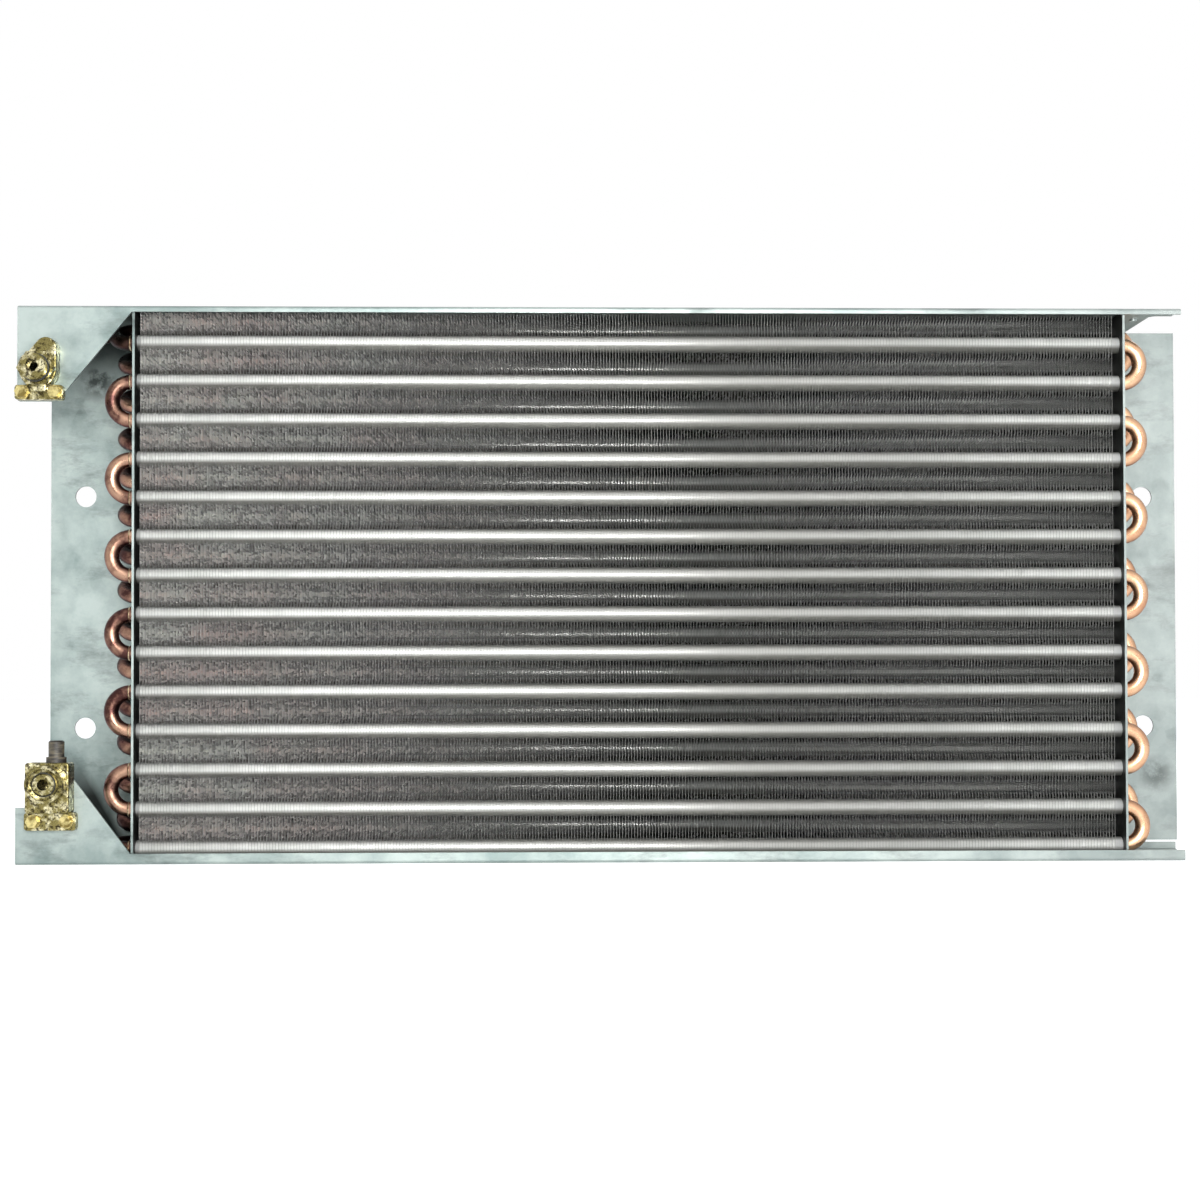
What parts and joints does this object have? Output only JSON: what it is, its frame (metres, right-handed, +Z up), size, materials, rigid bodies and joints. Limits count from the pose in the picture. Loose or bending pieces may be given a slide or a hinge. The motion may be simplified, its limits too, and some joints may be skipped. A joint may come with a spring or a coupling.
{
  "type": "air conditioning condenser",
  "caption": "Fin-and-tube condenser coil with copper return bends, flanged tube sheets, casing rails with corner gussets, and brass inlet and outlet fittings.",
  "frame": {"origin": "under the middle of the bottom rail, midway between the tube sheets", "axes": "+X along the tubes towards the hairpin end, +Y from the front face to the back, +Z up"},
  "size_m": [0.7778, 0.0898, 0.3616],
  "materials": {
    "galvanised_steel": "dull spangled zinc with streaks",
    "fin_aluminium": "dusty aluminium fin edges, dark between the fins",
    "copper": "drawn copper, warm and slightly dulled",
    "brass": "machined yellow brass with dark reflections",
    "rivet_aluminium": "satin",
    "plated_steel": "pale passivated plating",
    "seal_rubber": "matt black",
    "cap_plastic": "dark grey-brown moulded plastic"
  },
  "bodies": {
    "root": {"fin_pack": "fin_aluminium", "left_tube_sheet": "galvanised_steel", "right_tube_sheet": "galvanised_steel", "top_rail": "galvanised_steel", "bottom_rail": "galvanised_steel", "top_rail_rivets": "rivet_aluminium", "bottom_rail_rivets": "rivet_aluminium", "hairpin_tubes_front": "copper", "hairpin_tubes_middle": "copper", "hairpin_tubes_rear": "copper", "front_return_bends": "copper", "diagonal_return_bends": "copper", "inlet_branch_bend": "copper", "inlet_feed_tube": "copper", "outlet_branch_bend": "copper", "outlet_feed_tube": "copper", "inlet_fitting_body": "brass", "inlet_o_ring": "seal_rubber", "inlet_fitting_screws": "plated_steel", "outlet_fitting_body": "brass", "outlet_coupling_collar": "brass", "collar_snap_ring": "plated_steel", "outlet_o_ring": "seal_rubber", "outlet_check_valve": "brass", "outlet_fitting_screws": "plated_steel", "fitting_screw_nuts": "plated_steel", "charge_port_stem": "brass", "charge_valve_core": "brass", "charge_port_cap": "cap_plastic"}
  },
  "joints": []
}
